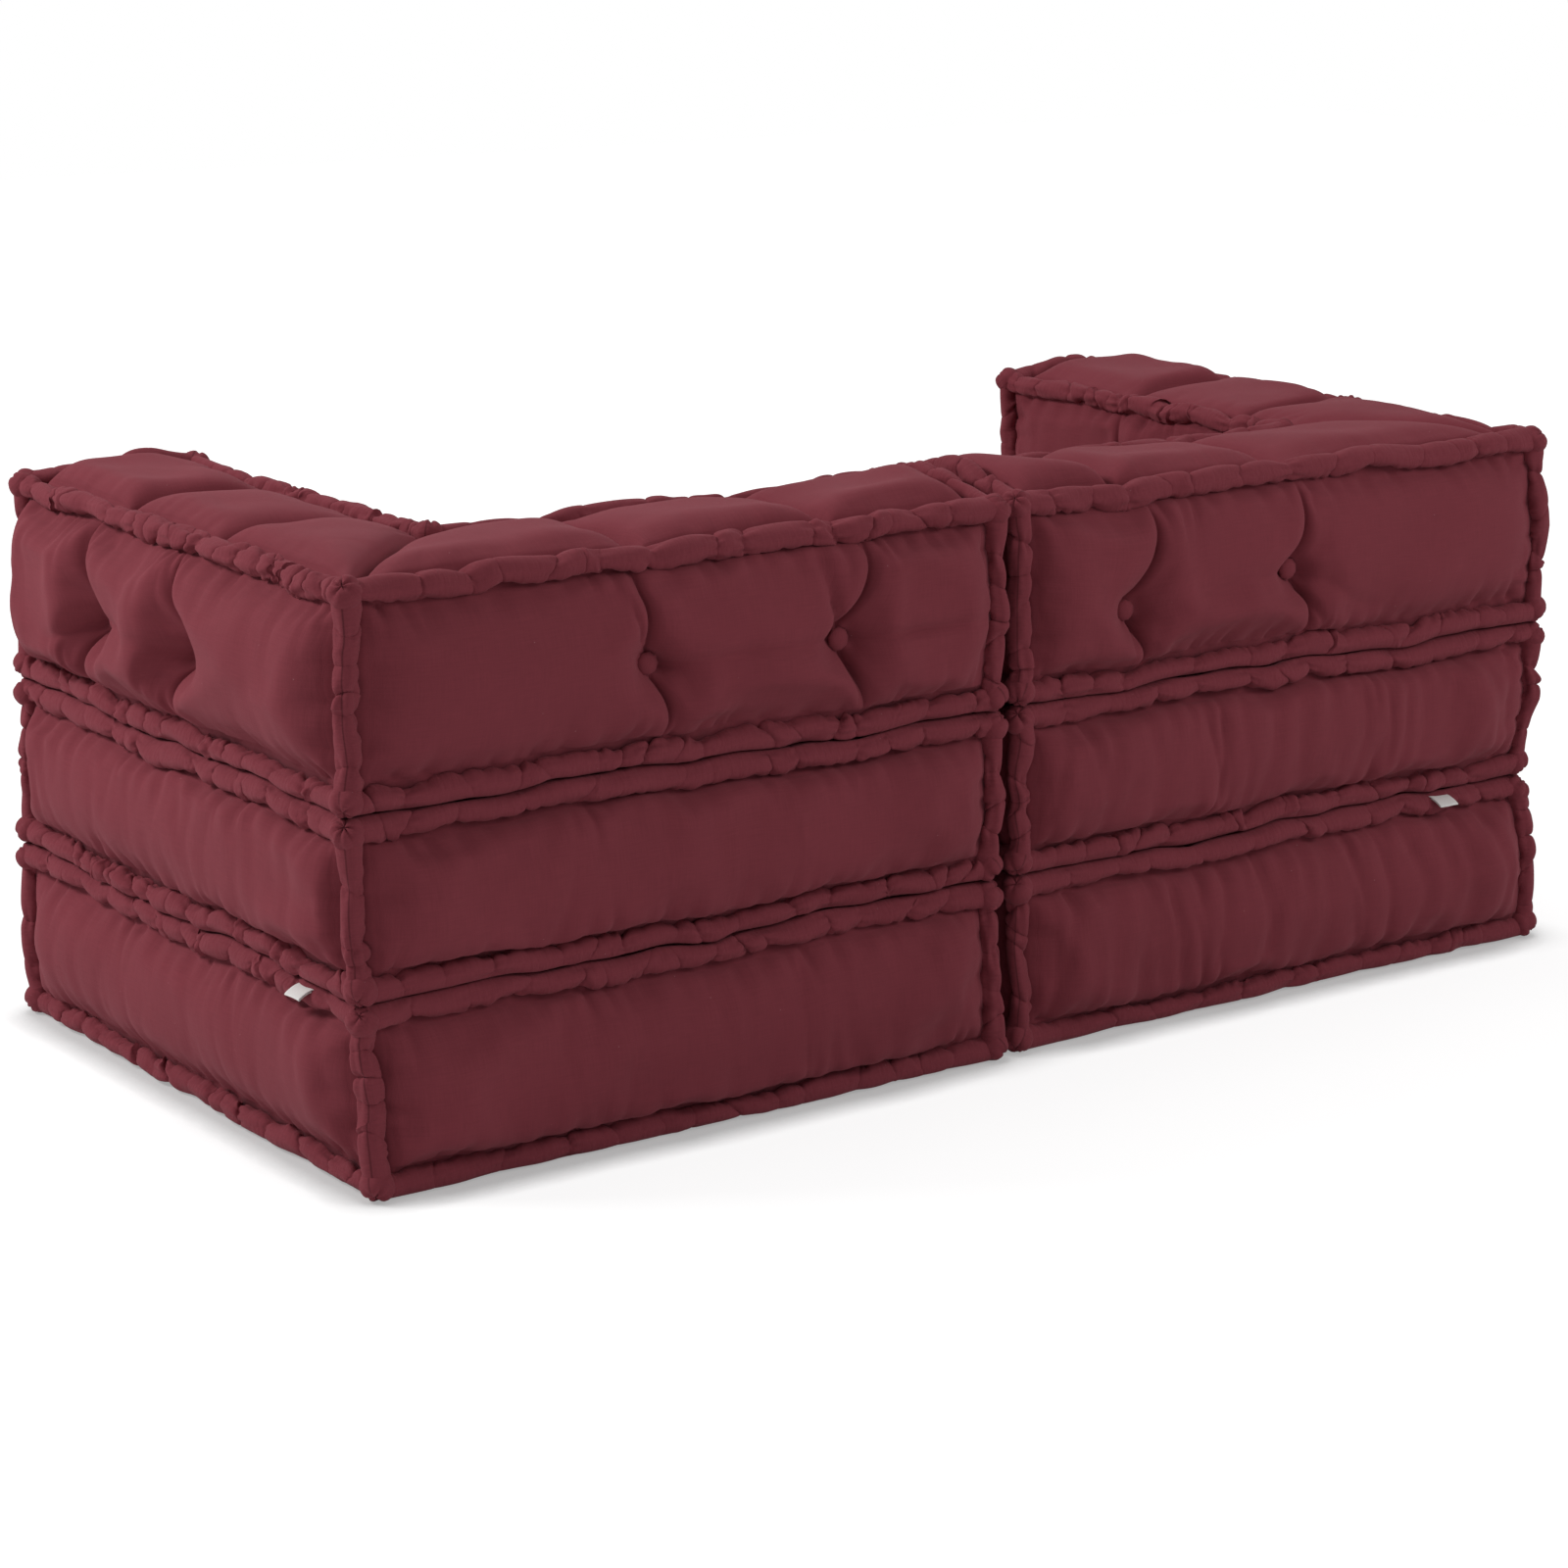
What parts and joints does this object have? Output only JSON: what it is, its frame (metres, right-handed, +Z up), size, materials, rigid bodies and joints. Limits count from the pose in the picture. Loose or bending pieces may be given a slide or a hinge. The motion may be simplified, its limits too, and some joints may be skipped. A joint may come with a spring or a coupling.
{
  "type": "modular sofa",
  "caption": "Low modular sofa of two mirrored corner modules, each a stack of rolled-edge mattress cushions with an L-shaped tufted back and arm.",
  "frame": {"origin": "centre of the sofa's footprint, on the floor", "axes": "+Z up; -Y is the front that the sitter faces; +X is the sofa's right side as seen from the rear's left, where the right module stands"},
  "size_m": [1.464, 0.706, 0.5726],
  "materials": {
    "cover_cotton": "matte plain-woven burgundy cotton",
    "edge_cotton": "matte plain-woven burgundy cotton, gathered and stitched",
    "core_filling": "undyed cotton and foam filling",
    "tufting_twine": "twisted twine",
    "label_tape": "smooth white woven tape, blank"
  },
  "bodies": {
    "right_base": {"right_base_cover": "cover_cotton", "right_base_edge_roll": "edge_cotton", "right_base_core": "core_filling", "right_base_buttons": "edge_cotton", "right_base_tuft_twine": "tufting_twine", "right_label": "label_tape"},
    "right_seat": {"right_seat_cover": "cover_cotton", "right_seat_edge_roll": "edge_cotton", "right_seat_core": "core_filling", "right_seat_buttons": "edge_cotton", "right_seat_tuft_twine": "tufting_twine"},
    "right_back": {"right_back_cover": "cover_cotton", "right_back_edge_roll": "edge_cotton", "right_back_core": "core_filling", "right_back_buttons": "edge_cotton", "right_back_tuft_twine": "tufting_twine"},
    "left_base": {"left_base_cover": "cover_cotton", "left_base_edge_roll": "edge_cotton", "left_base_core": "core_filling", "left_base_buttons": "edge_cotton", "left_base_tuft_twine": "tufting_twine", "left_label": "label_tape"},
    "left_seat": {"left_seat_cover": "cover_cotton", "left_seat_edge_roll": "edge_cotton", "left_seat_core": "core_filling", "left_seat_buttons": "edge_cotton", "left_seat_tuft_twine": "tufting_twine"},
    "left_back": {"left_back_cover": "cover_cotton", "left_back_edge_roll": "edge_cotton", "left_back_core": "core_filling", "left_back_buttons": "edge_cotton", "left_back_tuft_twine": "tufting_twine"}
  },
  "joints": [
    {"name": "left_module_slide", "type": "slide", "parent": "right_base", "child": "left_base", "axis": [-1, 0, 0], "range_m": [0, 0.3]},
    {"name": "right_seat_lift", "type": "slide", "parent": "right_base", "child": "right_seat", "axis": [0, 0, 1], "range_m": [0, 0.42]},
    {"name": "right_back_lift", "type": "slide", "parent": "right_seat", "child": "right_back", "axis": [0, 0, 1], "range_m": [0, 0.25]},
    {"name": "left_seat_lift", "type": "slide", "parent": "left_base", "child": "left_seat", "axis": [0, 0, 1], "range_m": [0, 0.42]},
    {"name": "left_back_lift", "type": "slide", "parent": "left_seat", "child": "left_back", "axis": [0, 0, 1], "range_m": [0, 0.25]}
  ]
}
